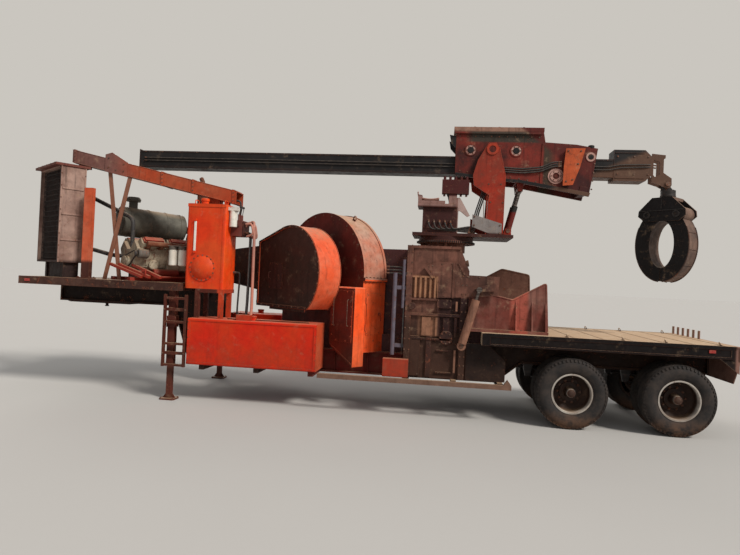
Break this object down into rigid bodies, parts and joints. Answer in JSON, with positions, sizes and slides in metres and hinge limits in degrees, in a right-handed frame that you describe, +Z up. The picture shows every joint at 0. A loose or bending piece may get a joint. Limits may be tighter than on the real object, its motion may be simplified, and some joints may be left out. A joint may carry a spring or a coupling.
{
  "type": "whole tree chipper trailer",
  "caption": "Weathered orange whole tree chipper on a tandem-axle semi-trailer, with a skewed disc, ribbed feed works and a sliding-boom grapple loader",
  "frame": {"origin": "on the ground, in the middle of the machine's bounding box", "axes": "+X to the trailer's rear with the wheels and infeed deck, -X to the gooseneck, -Y to the trailer's left side with the ladder, +Z up"},
  "size_m": [11.5577, 2.4656, 4.71],
  "materials": {
    "black_steel": "matt, dusty",
    "dark_red_paint": "matt, rusty",
    "rusty_red": "matt, rusty",
    "orange_paint": "satin, weathered",
    "faded_orange": "matt, faded",
    "brown_paint": "matt, rusty",
    "tan_paint": "matt, dusty",
    "worn_steel": "worn, rusty",
    "chrome_rod": "polished",
    "rusty_deck": "matt, rusty",
    "pale_grey": "matt, dusty",
    "dark_core": "matt, dusty",
    "engine_red": "oily",
    "grey_green": "matt",
    "near_black": "matt, scraped",
    "tyre_rubber": "dusty",
    "rim_paint": "matt, dusty",
    "lamp_lens": "glossy, dusty"
  },
  "bodies": {
    "trailer": {"main_frame": "black_steel", "engine_deck": "dark_red_paint", "coupling_plate": "black_steel", "landing_legs": "rusty_red", "access_steps": "orange_paint", "side_tanks": "orange_paint", "hydraulic_tank": "orange_paint", "tank_stand": "orange_paint", "filter_and_valves": "dark_red_paint", "belt_guard": "brown_paint", "belt_tunnel": "brown_paint", "disc_hood": "faded_orange", "disc_base": "orange_paint", "bearing_housing": "brown_paint", "feed_throat": "brown_paint", "feed_frame": "brown_paint", "infeed_trough": "faded_orange", "rear_deck": "rusty_deck", "side_skirts": "brown_paint", "axles": "black_steel", "springs": "black_steel", "cooler_shroud": "pale_grey", "cooler_core": "dark_core", "engine": "engine_red", "air_cleaner": "grey_green", "front_frame": "orange_paint", "discharge_spout": "faded_orange", "tool_box": "rusty_red", "lamps": "lamp_lens", "loader_pedestal": "brown_paint"},
    "fan": {"cooling_fan": "black_steel"},
    "lower_roll": {"lower_feed_roll": "worn_steel"},
    "upper_roll": {"upper_feed_roll": "worn_steel"},
    "yoke": {"feed_yoke": "brown_paint"},
    "feed_barrel_pair": {"feed_barrels": "tan_paint"},
    "feed_rod_pair": {"feed_rods": "chrome_rod"},
    "loader_turret": {"turret": "orange_paint", "operator_station": "dark_red_paint"},
    "loader_head": {"boom_head": "near_black", "boom_rollers": "worn_steel"},
    "loader_boom": {"slide_boom": "near_black"},
    "lift_barrel_pair": {"lift_barrels": "black_steel"},
    "lift_rod_pair": {"lift_rods": "chrome_rod"},
    "grapple_hanger": {"hanger": "worn_steel"},
    "grapple_body": {"grapple_head": "worn_steel"},
    "front_jaw": {"jaw_front": "worn_steel"},
    "rear_jaw": {"jaw_rear": "worn_steel"},
    "wheels_front_left": {"tyres_front_left": "tyre_rubber", "rims_front_left": "rim_paint"},
    "wheels_front_right": {"tyres_front_right": "tyre_rubber", "rims_front_right": "rim_paint"},
    "wheels_rear_left": {"tyres_rear_left": "tyre_rubber", "rims_rear_left": "rim_paint"},
    "wheels_rear_right": {"tyres_rear_right": "tyre_rubber", "rims_rear_right": "rim_paint"}
  },
  "joints": [
    {"name": "swing", "type": "hinge", "parent": "trailer", "child": "loader_turret", "pos_m": [1.5, 0, 2.79], "axis": [0, 0, 1], "range_deg": [-110, 110]},
    {"name": "tilt", "type": "hinge", "parent": "loader_turret", "child": "loader_head", "pos_m": [2.2, 0, 4.33], "axis": [0, -1, 0], "range_deg": [-12, 6]},
    {"name": "slide", "type": "slide", "parent": "loader_head", "child": "loader_boom", "axis": [1, 0, 0], "range_m": [-0.2, 4.8]},
    {"name": "lift_barrel_turn", "type": "hinge", "parent": "loader_turret", "child": "lift_barrel_pair", "pos_m": [2.52, 0, 3], "axis": [0, -1, 0], "range_deg": [-4.75, 9.44]},
    {"name": "lift_rod_run", "type": "slide", "parent": "lift_barrel_pair", "child": "lift_rod_pair", "axis": [0.236, 0, 0.9718], "range_m": [-0.11753, 0.05902]},
    {"name": "hanger_sway", "type": "hinge", "parent": "loader_boom", "child": "grapple_hanger", "pos_m": [5.06, 0, 3.87], "axis": [0, 1, 0], "range_deg": [-25, 25]},
    {"name": "grapple_turn", "type": "hinge", "parent": "grapple_hanger", "child": "grapple_body", "pos_m": [5.1, 0, 3.66], "axis": [0, 0, 1], "continuous": true},
    {"name": "front_jaw_open", "type": "hinge", "parent": "grapple_body", "child": "front_jaw", "pos_m": [4.93383, 0.16617, 3.36], "axis": [0.7071, 0.7071, 0], "range_deg": [0, 55]},
    {"name": "rear_jaw_open", "type": "hinge", "parent": "grapple_body", "child": "rear_jaw", "pos_m": [5.26617, -0.16617, 3.36], "axis": [-0.7071, -0.7071, 0], "range_deg": [0, 55]},
    {"name": "feed_lift", "type": "hinge", "parent": "trailer", "child": "yoke", "pos_m": [2.23, 0, 2.05], "axis": [0, 1, 0], "range_deg": [0, 25]},
    {"name": "feed_barrel_turn", "type": "hinge", "parent": "trailer", "child": "feed_barrel_pair", "pos_m": [1.8, 0, 1.13], "axis": [0, 1, 0], "range_deg": [-1.74, 0.05]},
    {"name": "feed_rod_run", "type": "slide", "parent": "feed_barrel_pair", "child": "feed_rod_pair", "axis": [0.2608, 0, 0.9654], "range_m": [-0.0005, 0.08333]},
    {"name": "upper_roll_spin", "type": "hinge", "parent": "yoke", "child": "upper_roll", "pos_m": [1.52, 0, 1.73], "axis": [0, 1, 0], "continuous": true},
    {"name": "lower_roll_spin", "type": "hinge", "parent": "trailer", "child": "lower_roll", "pos_m": [1.56, 0, 1.23], "axis": [0, 1, 0], "continuous": true},
    {"name": "fan_spin", "type": "hinge", "parent": "trailer", "child": "fan", "pos_m": [-5.10779, -0.58446, 2.945], "axis": [0.6088, 0.7934, 0], "continuous": true},
    {"name": "roll_front_left", "type": "hinge", "parent": "trailer", "child": "wheels_front_left", "pos_m": [3.442, -0.9, 0.525], "axis": [0, 1, 0], "continuous": true},
    {"name": "roll_front_right", "type": "hinge", "parent": "trailer", "child": "wheels_front_right", "pos_m": [3.442, 0.9, 0.525], "axis": [0, 1, 0], "continuous": true},
    {"name": "roll_rear_left", "type": "hinge", "parent": "trailer", "child": "wheels_rear_left", "pos_m": [4.947, -0.9, 0.525], "axis": [0, 1, 0], "continuous": true},
    {"name": "roll_rear_right", "type": "hinge", "parent": "trailer", "child": "wheels_rear_right", "pos_m": [4.947, 0.9, 0.525], "axis": [0, 1, 0], "continuous": true}
  ],
  "couplings": [
    {"joint": "lift_barrel_turn", "follows": "tilt", "ratio": -0.7825},
    {"joint": "lift_rod_run", "follows": "tilt", "m_per_rad": 0.5588},
    {"joint": "rear_jaw_open", "follows": "front_jaw_open", "ratio": 1},
    {"joint": "feed_barrel_turn", "follows": "feed_lift", "ratio": -0.06759},
    {"joint": "feed_rod_run", "follows": "feed_lift", "m_per_rad": 0.18983}
  ]
}
